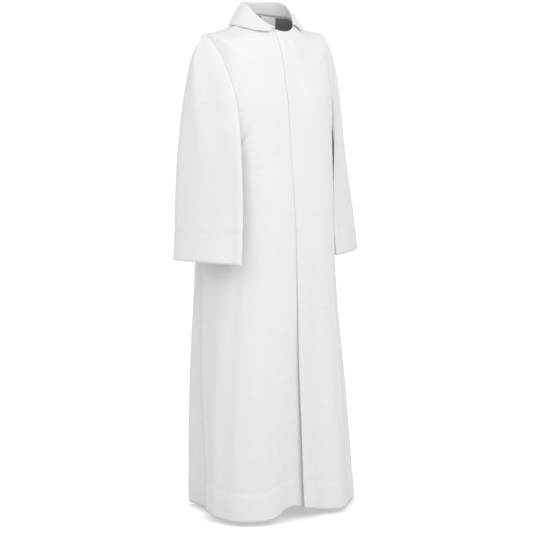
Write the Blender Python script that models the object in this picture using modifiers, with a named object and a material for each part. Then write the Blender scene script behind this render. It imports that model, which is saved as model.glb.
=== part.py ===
"""Alb robe, worn and hollow: long fronts with a hidden closure, a back, side gores, sleeves and a turn-down collar.

Metres, +Z up. The wearer faces -Y, the wearer's left is +X, and the origin is the middle of the neck base.
A place round the body is a turn in degrees: 0 is the middle front, 90 the wearer's left, -90 the right, 180 the back.
A place along the length is a drop: 0 at the neck seam, growing to the hem.
"""

import math
from bisect import bisect_right
from collections import namedtuple

import bmesh
import bpy

PART_NAME = "alb_robe"

# Driving sizes
CLOTH = 0.002
COLLAR_CLOTH = 0.0024
LABEL_CLOTH = 0.001
SEAM_GAP = 0.0003
SEAM_CLEAR = 0.0020
ROBE_LENGTH = 1.425
SHOULDER_DROP = 0.112
UNDERARM_DROP = 0.37
ARMHOLE_ROUND = 0.6
PLEAT_OPEN_DROP = 0.52
GORE_TOP_DROP = 0.41
GORE_TUCK = 9.0
LAP_INSET = 0.0040
LAP_UNDER = 0.055
LAP_BLEND = 0.09
LAP_MOST_SHARE = 0.6
VALLEY_DEPTH = 0.024
VALLEY_WIDTH = 0.125

# One row a section of the body, from the neck seam to the hem. Depths are measured from centre_y.
Section = namedtuple(
    "Section", "drop centre_x centre_y half_width front back side_z front_z back_z squareness"
)
BODY_SECTIONS = (
    Section(0.000, 0.000, 0.015, 0.070, 0.092, 0.060, 0.002, -0.036, 0.012, 2.0),
    Section(0.060, 0.000, 0.020, 0.135, 0.124, 0.090, -0.031, -0.100, -0.035, 2.0),
    Section(0.125, 0.000, 0.022, 0.203, 0.140, 0.125, -0.047, -0.165, -0.110, 2.0),
    Section(0.240, 0.000, 0.015, 0.196, 0.150, 0.150, -0.215, -0.250, -0.230, 2.6),
    Section(0.370, 0.000, 0.010, 0.188, 0.151, 0.168, -0.370, -0.375, -0.372, 2.8),
    Section(0.530, 0.000, 0.005, 0.188, 0.156, 0.183, -0.530, -0.530, -0.530, 2.7),
    Section(0.700, 0.000, 0.000, 0.194, 0.158, 0.198, -0.700, -0.700, -0.700, 2.6),
    Section(0.940, 0.005, 0.000, 0.219, 0.165, 0.195, -0.940, -0.940, -0.940, 2.4),
    Section(1.150, 0.012, 0.000, 0.236, 0.172, 0.190, -1.150, -1.150, -1.150, 2.4),
    Section(1.425, 0.020, 0.000, 0.250, 0.180, 0.186, -1.425, -1.425, -1.425, 2.4),
)

# Where the front's free edge lies, as its X down the length.
Edge = namedtuple("Edge", "drop x")
FLY_EDGE = (
    Edge(0.00, -0.030),
    Edge(0.24, -0.029),
    Edge(0.53, -0.020),
    Edge(0.94, -0.013),
    Edge(1.425, 0.000),
)

# How far round the body the fronts and the back reach, down the length.
Reach = namedtuple("Reach", "drop front_turn back_turn")
PANEL_REACH = (
    Reach(0.000, 90.0, 90.0),
    Reach(0.112, 90.0, 90.0),
    Reach(0.170, 69.0, 104.0),
    Reach(0.240, 57.0, 114.0),
    Reach(0.310, 59.0, 110.0),
    Reach(0.355, 77.0, 99.0),
    Reach(0.370, 90.0, 90.0),
    Reach(0.420, 90.0, 90.0),
    Reach(0.530, 96.0, 102.0),
    Reach(0.700, 103.0, 118.0),
    Reach(0.940, 100.0, 130.0),
    Reach(1.150, 96.0, 137.0),
    Reach(1.425, 92.0, 141.0),
)

# Large folds: a ridge where depth is positive, a trough where it is negative. Depth grows from start to the hem.
Fold = namedtuple("Fold", "turn spread start depth")
BODY_FOLDS = (
    Fold(-93.0, 9.0, 0.70, -0.012),
    Fold(-72.0, 8.0, 0.60, -0.006),
    Fold(-52.0, 13.0, 0.70, 0.004),
    Fold(-12.0, 11.0, 0.80, -0.012),
    Fold(9.0, 8.0, 0.50, -0.016),
    Fold(24.0, 7.0, 0.30, 0.006),
    Fold(47.0, 9.0, 0.75, -0.010),
    Fold(70.0, 10.0, 0.60, 0.006),
    Fold(93.0, 9.0, 0.70, -0.008),
    Fold(-134.0, 14.0, 0.40, 0.020),
    Fold(-137.0, 12.0, 0.95, 0.014),
    Fold(134.0, 14.0, 0.40, 0.020),
    Fold(-159.0, 8.0, 0.30, -0.014),
    Fold(159.0, 8.0, 0.30, -0.014),
    Fold(180.0, 10.0, 0.25, 0.010),
)

# Where the hem rises above its level, and how much.
HemRise = namedtuple("HemRise", "turn spread rise")
HEM_RISES = (
    HemRise(-8.0, 13.0, 0.028),
    HemRise(-92.0, 14.0, 0.009),
    HemRise(92.0, 14.0, 0.005),
    HemRise(180.0, 20.0, 0.006),
)
HEM_RISE_START = 0.9

# Inset of the side gores behind the fronts and the back.
Inset = namedtuple("Inset", "drop depth")
GORE_INSET = (
    Inset(0.41, 0.008),
    Inset(0.70, 0.022),
    Inset(1.425, 0.040),
)

# Sleeves: each cuff is a flattened ring with its long way turned in towards the front by yaw degrees, and each line
# of the tube is a curve from the armhole to it. flare spreads the tube towards the cuff, and tuck draws in its front.
Cuff = namedtuple("Cuff", "x y z long short yaw flare tuck")
LEFT_CUFF = Cuff(0.281, -0.008, -0.690, 0.113, 0.030, 52.0, 0.27, 0.0)
RIGHT_CUFF = Cuff(0.241, -0.034, -0.682, 0.117, 0.038, 20.0, 0.36, 0.012)
CUFF_OUTER_RISE = 0.004
CUFF_CREASE = 0.35
SLEEVE_BACK_FLARE = 0.06
SLEEVE_FRONT_BOW = 0.030
FRONT_CLOSE = 0.90
BACK_REACH = 0.016
BACK_PUSH = 0.020
HEAD_REACH = 0.100
HEAD_FALL = 0.030
UNDER_REACH = 0.022
UNDER_FALL = 0.060
HEAD_PULL = 0.40
UNDER_PULL = 0.16

# Collar: the seam follows the neck, the roll is its top fold, and the leaf falls out to its edge.
CollarRow = namedtuple("CollarRow", "turn roll_z leaf_z")
COLLAR_ROWS = (
    CollarRow(20.0, -0.026, -0.033),
    CollarRow(45.0, -0.010, -0.0310),
    CollarRow(65.0, 0.014, -0.0238),
    CollarRow(90.0, 0.046, -0.0165),
    CollarRow(125.0, 0.055, -0.0158),
    CollarRow(180.0, 0.052, -0.0150),
)
COLLAR_RIGHT_END_X = -0.030
COLLAR_LEFT_END_X = 0.044
ROLL_HALF_WIDTH = 0.066
ROLL_FRONT = 0.096
ROLL_BACK = 0.056
LEAF_HALF_WIDTH = 0.115
LEAF_FRONT = 0.100
LEAF_BACK = 0.086
COLLAR_CENTRE_Y = 0.016
COLLAR_SEAM_LIFT = 0.003
COLLAR_BOW = 0.004

# Bare label hanging inside the back neck, from just under the seam
LABEL_FIRST_TURN = 120.0
LABEL_LAST_TURN = 160.0
LABEL_INSET = 0.0045
LABEL_TOP = 0.003
LABEL_BOTTOM = 0.036
LABEL_LEAN = 0.004
LABEL_COLUMNS = 5
LABEL_ROWS = 2

# Resolution
FRONT_COLUMNS = 13
BACK_COLUMNS = 22
SHOULDER_ROWS = 4
ARMHOLE_ROWS = 9
SKIRT_ROWS = 13
GORE_COLUMNS = 5
GORE_ROWS = 14
SLEEVE_ROWS = 12
COLLAR_COLUMNS = 28
STAND_STEPS = 3
LEAF_STEPS = 4

WHITE_CLOTH = (0.86, 0.87, 0.88)
CLOTH_ROUGHNESS = 0.9


def smooth(share):
    """0 to 1 with a soft start and end."""
    share = min(max(share, 0.0), 1.0)
    return share * share * (3.0 - 2.0 * share)


def mix(low, high, share):
    return low + (high - low) * share


def read_row(rows, place):
    """The row at this place, read smoothly between the table's rows and never past their values."""
    keys = [row[0] for row in rows]
    place = min(max(place, keys[0]), keys[-1])
    index = min(max(bisect_right(keys, place) - 1, 0), len(rows) - 2)
    low, high = rows[index], rows[index + 1]
    before = rows[max(index - 1, 0)]
    after = rows[min(index + 2, len(rows) - 1)]
    span = high[0] - low[0]
    share = (place - low[0]) / span
    values = []
    for column in range(len(low)):
        slope_low = slope(before, low, high, column) * span
        slope_high = slope(low, high, after, column) * span
        values.append(hermite(low[column], high[column], slope_low, slope_high, share))
    return type(low)(*values)


def slope(before, here, after, column):
    """Slope of a column at a row: flat where the column turns back, so that it never overshoots."""
    rise_in = here[column] - before[column]
    rise_out = after[column] - here[column]
    run_in = here[0] - before[0]
    run_out = after[0] - here[0]
    if run_in == 0.0:
        return rise_out / run_out
    if run_out == 0.0:
        return rise_in / run_in
    if rise_in * rise_out <= 0.0:
        return 0.0
    weight_in = run_in + 2.0 * run_out
    weight_out = 2.0 * run_in + run_out
    return (weight_in + weight_out) / (weight_in * run_in / rise_in + weight_out * run_out / rise_out)


def hermite(low, high, slope_low, slope_high, share):
    rest = 1.0 - share
    return (
        low * (1.0 + 2.0 * share) * rest * rest
        + high * (3.0 - 2.0 * share) * share * share
        + slope_low * share * rest * rest
        - slope_high * share * share * rest
    )


def power(value, exponent):
    return math.copysign(abs(value) ** exponent, value)


def oval_point(half_width, front, back, squareness, turn):
    """Point of a squared oval, and its outward direction, both in plan."""
    sine = math.sin(math.radians(turn))
    cosine = math.cos(math.radians(turn))
    depth = front if cosine > 0.0 else back
    x = half_width * power(sine, 2.0 / squareness)
    y = -depth * power(cosine, 2.0 / squareness)
    normal_x = power(x / half_width, squareness - 1.0) / half_width
    normal_y = power(y / depth, squareness - 1.0) / depth
    length = math.hypot(normal_x, normal_y)
    return x, y, normal_x / length, normal_y / length


def turn_at_x(section, x):
    """Turn of the section's front where its X is x."""
    share = (x - section.centre_x) / section.half_width
    return math.degrees(math.asin(power(share, section.squareness / 2.0)))


def swell(turn, centre, spread):
    """1 at the centre turn, falling softly to 0 beyond the spread."""
    away = (turn - centre + 180.0) % 360.0 - 180.0
    return math.exp(-((away / spread) ** 2))


def fold_depth(turn, drop):
    """Sum of the large folds at a place."""
    return sum(
        fold.depth
        * smooth((drop - fold.start) / (ROBE_LENGTH - fold.start))
        * swell(turn, fold.turn, fold.spread)
        for fold in BODY_FOLDS
    )


def hem_rise(turn, drop):
    lower = smooth((drop - HEM_RISE_START) / (ROBE_LENGTH - HEM_RISE_START))
    return lower * sum(row.rise * swell(turn, row.turn, row.spread) for row in HEM_RISES)


def body_point(turn, drop, outset):
    """Point of the worn body of the robe, moved out by outset."""
    section = read_row(BODY_SECTIONS, drop)
    x, y, normal_x, normal_y = oval_point(
        section.half_width, section.front, section.back, section.squareness, turn
    )
    outset += fold_depth(turn, drop)
    cosine = math.cos(math.radians(turn))
    level = section.front_z if cosine > 0.0 else section.back_z
    x += section.centre_x + normal_x * outset
    y += section.centre_y + normal_y * outset
    z = mix(section.side_z, level, cosine * cosine) + hem_rise(turn, drop)
    return x, y, z


def armhole_drops():
    """Drops of the rows beside the armhole, a little closer together at the shoulder and the underarm."""
    drops = []
    for row in range(ARMHOLE_ROWS + 1):
        even = row / ARMHOLE_ROWS
        round_share = (1.0 - math.cos(math.pi * even)) / 2.0
        drops.append(mix(SHOULDER_DROP, UNDERARM_DROP, mix(even, round_share, ARMHOLE_ROUND)))
    return drops


def body_drops():
    """Drops of a body panel's rows, from the neck to the hem."""
    shoulder = [SHOULDER_DROP * row / SHOULDER_ROWS for row in range(SHOULDER_ROWS)]
    skirt = [mix(UNDERARM_DROP, ROBE_LENGTH, row / SKIRT_ROWS) for row in range(1, SKIRT_ROWS + 1)]
    return shoulder + armhole_drops() + skirt


def seam_turn(section):
    """Half the gap at a side seam, as a turn."""
    return math.degrees(SEAM_GAP / section.half_width)


def front_left_point(share, drop):
    section = read_row(BODY_SECTIONS, drop)
    edge = turn_at_x(section, read_row(FLY_EDGE, drop).x)
    side = read_row(PANEL_REACH, drop).front_turn - seam_turn(section)
    return body_point(mix(edge, side, share), drop, 0.0)


def valley_inset(x, edge_x, drop):
    """How far the right front lies behind the left one: a lap above, and an open pleat below."""
    opened = smooth((drop - PLEAT_OPEN_DROP) / (ROBE_LENGTH - PLEAT_OPEN_DROP))
    width = mix(LAP_BLEND, VALLEY_WIDTH, opened)
    near = smooth((x - (edge_x - width)) / width)
    return LAP_INSET * near + VALLEY_DEPTH * opened * near


def front_right_point(share, drop):
    section = read_row(BODY_SECTIONS, drop)
    edge_x = read_row(FLY_EDGE, drop).x
    lap = min(LAP_UNDER, section.half_width * LAP_MOST_SHARE)
    side = -read_row(PANEL_REACH, drop).front_turn + seam_turn(section)
    turn = mix(side, turn_at_x(section, edge_x + lap), share)
    x = body_point(turn, drop, 0.0)[0]
    return body_point(turn, drop, -valley_inset(x, edge_x, drop))


def back_point(share, drop):
    section = read_row(BODY_SECTIONS, drop)
    reach = read_row(PANEL_REACH, drop).back_turn + seam_turn(section)
    return body_point(mix(reach, 360.0 - reach, share), drop, 0.0)


def gore_point(share, drop, side):
    reach = read_row(PANEL_REACH, drop)
    first = reach.front_turn - GORE_TUCK
    last = reach.back_turn + GORE_TUCK
    return body_point(side * mix(first, last, share), drop, -read_row(GORE_INSET, drop).depth)


def armhole_loop():
    """Places round the armhole as (turn round it, drop): down the front from the shoulder and up the back."""
    drops = armhole_drops()
    step = 180.0 / ARMHOLE_ROWS
    down = [(row * step, drop) for row, drop in enumerate(drops)]
    up = [(360.0 - row * step, drop) for row, drop in enumerate(drops)]
    return down + up[-2:0:-1]


def cuff_point(cuff, turn_round, side):
    """Point of the cuff's edge: an oval with a creased front, its long way turned in towards the front."""
    angle = math.radians(turn_round)
    front = max(math.sin(angle), 0.0)
    outward = cuff.short * math.cos(angle) * (1.0 - CUFF_CREASE * front * front)
    forward = cuff.long * math.sin(angle)
    yaw = math.radians(cuff.yaw)
    x = cuff.x + outward * math.cos(yaw) - forward * math.sin(yaw)
    y = cuff.y - outward * math.sin(yaw) - forward * math.cos(yaw)
    z = cuff.z + CUFF_OUTER_RISE * math.cos(angle)
    return side * x, y, z


def sleeve_point(cuff, turn_round, drop, share, side):
    """A curve from the armhole out over the shoulder and down to the cuff."""
    reach_row = read_row(PANEL_REACH, drop)
    turn = reach_row.front_turn if turn_round <= 180.0 else reach_row.back_turn
    angle = math.radians(turn_round)
    top = (1.0 + math.cos(angle)) / 2.0
    front = max(math.sin(angle), 0.0)
    back = max(-math.sin(angle), 0.0)
    end = cuff_point(cuff, turn_round, side)
    edge = body_point(side * turn, drop, mix(CLOTH + SEAM_CLEAR, 0.0, top))
    begin = (edge[0] + side * SEAM_CLEAR, edge[1], edge[2])
    pull = mix(UNDER_PULL, HEAD_PULL, top) * (edge[2] - end[2])
    reach = mix(UNDER_REACH, HEAD_REACH, top) * (1.0 - FRONT_CLOSE * front) + BACK_REACH * back
    first = (
        begin[0] + side * reach,
        begin[1] + BACK_PUSH * back - SLEEVE_FRONT_BOW * front,
        begin[2] - mix(UNDER_FALL, HEAD_FALL, top),
    )
    second = (
        end[0] - side * (pull * cuff.flare * math.cos(angle) + cuff.tuck * front),
        end[1] - pull * SLEEVE_BACK_FLARE * back,
        end[2] + pull,
    )
    rest = 1.0 - share
    return tuple(
        begin[i] * rest**3
        + 3.0 * first[i] * share * rest**2
        + 3.0 * second[i] * share**2 * rest
        + end[i] * share**3
        for i in range(3)
    )


def collar_levels(turn):
    """Heights of the roll and the leaf's edge at a turn."""
    return read_row(COLLAR_ROWS, abs((turn + 180.0) % 360.0 - 180.0))


def collar_profile(turn):
    """The collar's section at one turn: up the stand from the neck seam, over the roll and down the leaf."""
    neck = BODY_SECTIONS[0]
    seam_x, seam_y, seam_z = body_point(turn, 0.0, 0.0)
    seam = (seam_x, seam_y, seam_z + COLLAR_SEAM_LIFT)
    levels = collar_levels(turn)
    roll_x, roll_y, _, _ = oval_point(ROLL_HALF_WIDTH, ROLL_FRONT, ROLL_BACK, neck.squareness, turn)
    leaf_x, leaf_y, _, _ = oval_point(LEAF_HALF_WIDTH, LEAF_FRONT, LEAF_BACK, neck.squareness, turn)
    roll = (roll_x, roll_y + COLLAR_CENTRE_Y, levels.roll_z)
    leaf = (leaf_x, leaf_y + COLLAR_CENTRE_Y, levels.leaf_z)
    stand = [tuple(mix(a, b, step / STAND_STEPS) for a, b in zip(seam, roll)) for step in range(STAND_STEPS)]
    fall = []
    for step in range(LEAF_STEPS + 1):
        share = step / LEAF_STEPS
        bow = COLLAR_BOW * math.sin(math.pi * share)
        x, y, z = (mix(a, b, share) for a, b in zip(roll, leaf))
        fall.append((x, y, z + bow))
    return stand + fall


def grid_mesh(name, lines, closed=False):
    """A mesh through equal lines of points, each line one run down the cloth."""
    mesh = bpy.data.meshes.new(name)
    shape = bmesh.new()
    rows = [[shape.verts.new(point) for point in line] for line in lines]
    pairs = list(zip(rows, rows[1:]))
    if closed:
        pairs.append((rows[-1], rows[0]))
    for first, second in pairs:
        for index in range(len(first) - 1):
            corners = (first[index], first[index + 1], second[index + 1], second[index])
            shape.faces.new(corners)
    for face in shape.faces:
        face.smooth = True
    shape.to_mesh(mesh)
    shape.free()
    return mesh


def add_cloth(name, mesh, collection, thickness, flip):
    """Makes a cloth piece from an open surface: its outer face is the surface, and its wall goes inward."""
    if flip:
        mesh.flip_normals()
    piece = bpy.data.objects.new(name, mesh)
    collection.objects.link(piece)
    wall = piece.modifiers.new("wall", "SOLIDIFY")
    wall.thickness = thickness
    wall.offset = -1.0
    piece.data.materials.append(cloth_material(name))
    return piece


def cloth_material(name):
    material = bpy.data.materials.new(name)
    material.use_nodes = True
    shader = material.node_tree.nodes["Principled BSDF"]
    shader.inputs["Base Color"].default_value = (*WHITE_CLOTH, 1.0)
    shader.inputs["Roughness"].default_value = CLOTH_ROUGHNESS
    shader.inputs["Metallic"].default_value = 0.0
    return material


def panel_lines(point_of, columns, drops):
    """Lines down a panel, from its first edge to its last, with a point at each drop."""
    return [[point_of(column / columns, drop) for drop in drops] for column in range(columns + 1)]


def add_fronts(collection):
    drops = body_drops()
    left = grid_mesh("front_left", panel_lines(front_left_point, FRONT_COLUMNS, drops))
    add_cloth("front_left", left, collection, CLOTH, True)
    right = grid_mesh("front_right", panel_lines(front_right_point, FRONT_COLUMNS, drops))
    add_cloth("front_right", right, collection, CLOTH, True)


def add_back(collection):
    drops = body_drops()
    back = grid_mesh("back", panel_lines(back_point, BACK_COLUMNS, drops))
    add_cloth("back", back, collection, CLOTH, True)


def label_point(share, fall):
    """The label hangs straight down from the neck seam, leaning a little inward."""
    lean = LABEL_LEAN * (fall - LABEL_TOP) / (LABEL_BOTTOM - LABEL_TOP)
    x, y, z = body_point(mix(LABEL_FIRST_TURN, LABEL_LAST_TURN, share), 0.0, -LABEL_INSET - lean)
    return x, y, z - fall


def add_label(collection):
    falls = [mix(LABEL_TOP, LABEL_BOTTOM, row / LABEL_ROWS) for row in range(LABEL_ROWS + 1)]
    label = grid_mesh("neck_label", panel_lines(label_point, LABEL_COLUMNS, falls))
    add_cloth("neck_label", label, collection, LABEL_CLOTH, True)


def add_gores(collection):
    drops = [mix(GORE_TOP_DROP, ROBE_LENGTH, row / GORE_ROWS) for row in range(GORE_ROWS + 1)]
    for name, side in (("side_gore_left", 1.0), ("side_gore_right", -1.0)):
        lines = panel_lines(lambda share, drop: gore_point(share, drop, side), GORE_COLUMNS, drops)
        add_cloth(name, grid_mesh(name, lines), collection, CLOTH, side > 0.0)


def add_sleeves(collection):
    shares = [row / SLEEVE_ROWS for row in range(SLEEVE_ROWS + 1)]
    for name, side, cuff in (("sleeve_left", 1.0, LEFT_CUFF), ("sleeve_right", -1.0, RIGHT_CUFF)):
        lines = [
            [sleeve_point(cuff, turn_round, drop, share, side) for share in shares]
            for turn_round, drop in armhole_loop()
        ]
        add_cloth(name, grid_mesh(name, lines, closed=True), collection, CLOTH, side < 0.0)


def add_collar(collection):
    neck = BODY_SECTIONS[0]
    first = turn_at_x(neck, COLLAR_LEFT_END_X)
    last = 360.0 + turn_at_x(neck, COLLAR_RIGHT_END_X)
    lines = [collar_profile(mix(first, last, column / COLLAR_COLUMNS)) for column in range(COLLAR_COLUMNS + 1)]
    add_cloth("collar", grid_mesh("collar", lines), collection, COLLAR_CLOTH, False)


def main():
    for old in list(bpy.data.objects):
        bpy.data.objects.remove(old, do_unlink=True)
    collection = bpy.data.collections.new(PART_NAME)
    bpy.context.scene.collection.children.link(collection)
    add_fronts(collection)
    add_back(collection)
    add_gores(collection)
    add_sleeves(collection)
    add_collar(collection)
    add_label(collection)


if __name__ == "__main__":
    main()
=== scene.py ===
"""Looks of the alb robe: thin worn cloth in the place of each solid, its stitching, and a plain studio.

Metres, +Z up. The wearer faces -Y, the wearer's left is +X, and the origin is the middle of the neck base.
A place round the body is a turn in degrees: 0 is the middle front, 90 the wearer's left and 180 the back.
A place along the length is a drop: 0 at the neck seam, growing to the hem. A side is 1 on the wearer's left
and -1 on the right.
"""

import math
from collections import namedtuple

import bpy
import numpy as np
from bpy.props import FloatProperty, FloatVectorProperty, PointerProperty
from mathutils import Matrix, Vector


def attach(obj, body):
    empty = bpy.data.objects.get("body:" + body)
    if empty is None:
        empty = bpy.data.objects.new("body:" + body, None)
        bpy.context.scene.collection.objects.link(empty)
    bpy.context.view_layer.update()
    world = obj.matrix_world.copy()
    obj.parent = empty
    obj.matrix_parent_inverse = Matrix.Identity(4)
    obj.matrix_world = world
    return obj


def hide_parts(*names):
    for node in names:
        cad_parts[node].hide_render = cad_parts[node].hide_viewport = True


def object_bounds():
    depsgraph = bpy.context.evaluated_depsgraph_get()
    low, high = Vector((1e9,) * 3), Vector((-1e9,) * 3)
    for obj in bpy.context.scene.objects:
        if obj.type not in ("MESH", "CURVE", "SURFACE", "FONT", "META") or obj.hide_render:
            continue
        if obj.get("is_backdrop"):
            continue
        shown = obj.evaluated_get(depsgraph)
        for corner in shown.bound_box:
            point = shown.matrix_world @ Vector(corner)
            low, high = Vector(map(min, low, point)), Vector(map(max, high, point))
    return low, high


bl_info = {
    "name": "Alb Robe",
    "version": (1, 0, 0),
    "blender": (4, 5, 0),
    "location": "3D View > Sidebar > Alb Robe",
    "description": "Builds a worn, hollow alb: lapped fronts, side pleats, sleeves and a turn-down collar",
    "category": "Object",
}

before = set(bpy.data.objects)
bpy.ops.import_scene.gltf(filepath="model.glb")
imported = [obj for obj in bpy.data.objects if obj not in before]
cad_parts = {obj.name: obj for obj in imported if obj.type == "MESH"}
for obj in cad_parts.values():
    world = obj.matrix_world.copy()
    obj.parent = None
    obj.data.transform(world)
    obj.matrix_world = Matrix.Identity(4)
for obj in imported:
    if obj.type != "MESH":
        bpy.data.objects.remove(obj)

BODY = "root"
CLOTH_MAP = "cloth"

# Sizes of the pattern, as in the solids
ROBE_LENGTH = 1.425
SHOULDER_DROP = 0.112
UNDERARM_DROP = 0.37
ARMHOLE_ROUND = 0.6
PLEAT_OPEN_DROP = 0.52
GORE_TOP_DROP = 0.41
LAP_UNDER = 0.055
LAP_BLEND = 0.09
LAP_MOST_SHARE = 0.6
VALLEY_WIDTH = 0.125

# How the thin cloth of the fronts and gores lies where it differs from the solids: the right front under the
# lap and in the open pleat, the lap's edge, and the side gores behind the panels' edges
LAP_INSET = 0.0023
VALLEY_DEPTH = 0.012
LIP_DEPTH = 0.0006
LIP_COLUMNS = 1.2
GORE_TURN_UNDER = 0.6
GORE_FOLD_SHARE = 0.24
GORE_EDGE_INSET = 0.0016

# One row a section of the body, from the neck seam to the hem. Depths are measured from centre_y.
Section = namedtuple(
    "Section", "drop centre_x centre_y half_width front back side_z front_z back_z squareness"
)
BODY_SECTIONS = (
    Section(0.000, 0.000, 0.015, 0.070, 0.092, 0.060, 0.002, -0.036, 0.012, 2.0),
    Section(0.060, 0.000, 0.020, 0.135, 0.124, 0.090, -0.031, -0.100, -0.035, 2.0),
    Section(0.125, 0.000, 0.022, 0.203, 0.140, 0.125, -0.047, -0.165, -0.110, 2.0),
    Section(0.240, 0.000, 0.015, 0.196, 0.150, 0.150, -0.215, -0.250, -0.230, 2.6),
    Section(0.370, 0.000, 0.010, 0.188, 0.151, 0.168, -0.370, -0.375, -0.372, 2.8),
    Section(0.530, 0.000, 0.005, 0.188, 0.156, 0.183, -0.530, -0.530, -0.530, 2.7),
    Section(0.700, 0.000, 0.000, 0.194, 0.158, 0.198, -0.700, -0.700, -0.700, 2.6),
    Section(0.940, 0.005, 0.000, 0.219, 0.165, 0.195, -0.940, -0.940, -0.940, 2.4),
    Section(1.150, 0.012, 0.000, 0.236, 0.172, 0.190, -1.150, -1.150, -1.150, 2.4),
    Section(1.425, 0.020, 0.000, 0.250, 0.180, 0.186, -1.425, -1.425, -1.425, 2.4),
)

# Where the front's free edge lies, as its X down the length.
Edge = namedtuple("Edge", "drop x")
FLY_EDGE = (
    Edge(0.00, -0.030),
    Edge(0.24, -0.029),
    Edge(0.53, -0.020),
    Edge(0.94, -0.013),
    Edge(1.425, 0.000),
)

# How far round the body the fronts and the back reach, down the length.
Reach = namedtuple("Reach", "drop front_turn back_turn")
PANEL_REACH = (
    Reach(0.000, 90.0, 90.0),
    Reach(0.112, 90.0, 90.0),
    Reach(0.170, 69.0, 104.0),
    Reach(0.240, 57.0, 114.0),
    Reach(0.310, 59.0, 110.0),
    Reach(0.355, 77.0, 99.0),
    Reach(0.370, 90.0, 90.0),
    Reach(0.420, 90.0, 90.0),
    Reach(0.530, 96.0, 102.0),
    Reach(0.700, 103.0, 118.0),
    Reach(0.940, 100.0, 130.0),
    Reach(1.150, 96.0, 137.0),
    Reach(1.425, 92.0, 141.0),
)

# Large folds: a ridge where depth is positive, a trough where it is negative. The depth grows from the drop
# start to the hem.
Fold = namedtuple("Fold", "turn spread start depth")
BODY_FOLDS = (
    Fold(-93.0, 9.0, 0.70, -0.012),
    Fold(-72.0, 8.0, 0.60, -0.006),
    Fold(-52.0, 13.0, 0.70, 0.004),
    Fold(-12.0, 11.0, 0.80, -0.012),
    Fold(9.0, 8.0, 0.50, -0.016),
    Fold(24.0, 7.0, 0.30, 0.006),
    Fold(47.0, 9.0, 0.75, -0.010),
    Fold(70.0, 10.0, 0.60, 0.006),
    Fold(93.0, 9.0, 0.70, -0.008),
    Fold(-134.0, 14.0, 0.40, 0.020),
    Fold(-137.0, 12.0, 0.95, 0.014),
    Fold(134.0, 14.0, 0.40, 0.020),
    Fold(-159.0, 8.0, 0.30, -0.014),
    Fold(159.0, 8.0, 0.30, -0.014),
    Fold(180.0, 10.0, 0.25, 0.010),
)

# Where the hem rises above its level, and how much.
HemRise = namedtuple("HemRise", "turn spread rise")
HEM_RISES = (
    HemRise(-8.0, 13.0, 0.028),
    HemRise(-92.0, 14.0, 0.009),
    HemRise(92.0, 14.0, 0.005),
    HemRise(180.0, 20.0, 0.006),
)
HEM_RISE_START = 0.9

# Inset of the side gores behind the fronts and the back.
Inset = namedtuple("Inset", "drop depth")
GORE_INSET = (
    Inset(0.41, 0.008),
    Inset(0.70, 0.022),
    Inset(1.425, 0.040),
)

# Sleeves: each cuff is a flattened ring with its long way turned in towards the front by yaw degrees, and
# each line of the tube is a curve from the armhole to it. flare spreads the tube towards the cuff, and tuck
# draws its front in. The solids have no tuck on the left and a wider flare on the right.
Cuff = namedtuple("Cuff", "x y z long short yaw flare tuck")
LEFT_CUFF = Cuff(0.281, -0.008, -0.690, 0.113, 0.030, 52.0, 0.27, 0.031)
RIGHT_CUFF = Cuff(0.241, -0.034, -0.682, 0.117, 0.038, 20.0, 0.30, 0.012)
CUFF_OUTER_RISE = 0.004
CUFF_CREASE = 0.35
SLEEVE_BACK_FLARE = 0.06
SLEEVE_FRONT_BOW = 0.030
FRONT_CLOSE = 0.90
BACK_REACH = 0.016
BACK_PUSH = 0.020
HEAD_REACH = 0.100
HEAD_FALL = 0.030
UNDER_REACH = 0.022
UNDER_FALL = 0.060
HEAD_PULL = 0.40
UNDER_PULL = 0.16

# Length of a sleeve at the underarm, and how much longer it is over its head
SLEEVE_UNDER_LENGTH = 0.30
SLEEVE_HEAD_EXTRA = 0.36

# Collar: the seam follows the neck, the roll is its top fold, and the leaf falls out to its edge. The seam
# and the leaf's edge lie about 2 mm lower than in the solid.
CollarRow = namedtuple("CollarRow", "turn roll_z leaf_z")
COLLAR_ROWS = (
    CollarRow(20.0, -0.026, -0.033),
    CollarRow(45.0, -0.010, -0.0310),
    CollarRow(65.0, 0.014, -0.0238),
    CollarRow(90.0, 0.046, -0.0165),
    CollarRow(125.0, 0.055, -0.0158),
    CollarRow(180.0, 0.052, -0.0150),
)
COLLAR_RIGHT_END_X = -0.030
COLLAR_LEFT_END_X = 0.044
ROLL_HALF_WIDTH = 0.066
ROLL_FRONT = 0.096
ROLL_BACK = 0.056
LEAF_HALF_WIDTH = 0.115
LEAF_FRONT = 0.100
LEAF_BACK = 0.086
LEAF_SETTLE = 0.0016
COLLAR_CENTRE_Y = 0.016
COLLAR_SEAM_LIFT = 0.001
COLLAR_BOW = 0.004
ROLL_SOFT_STEPS = 2.0

# Slight waves of the collar's leaf, from this share of the way to its edge, and how fast they come in
COLLAR_WAVES = 5.0
COLLAR_WAVE_HEIGHT = 0.0006
COLLAR_WAVE_PHASE = 0.7
COLLAR_WAVE_START = 0.4
COLLAR_WAVE_SOFT = 0.3

# Bare label hanging inside the back neck, from just under the seam
LABEL_FIRST_TURN = 120.0
LABEL_LAST_TURN = 160.0
LABEL_INSET = 0.0045
LABEL_TOP = 0.003
LABEL_BOTTOM = 0.036
LABEL_LEAN = 0.004
LABEL_CLOTH = 0.0006

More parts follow.
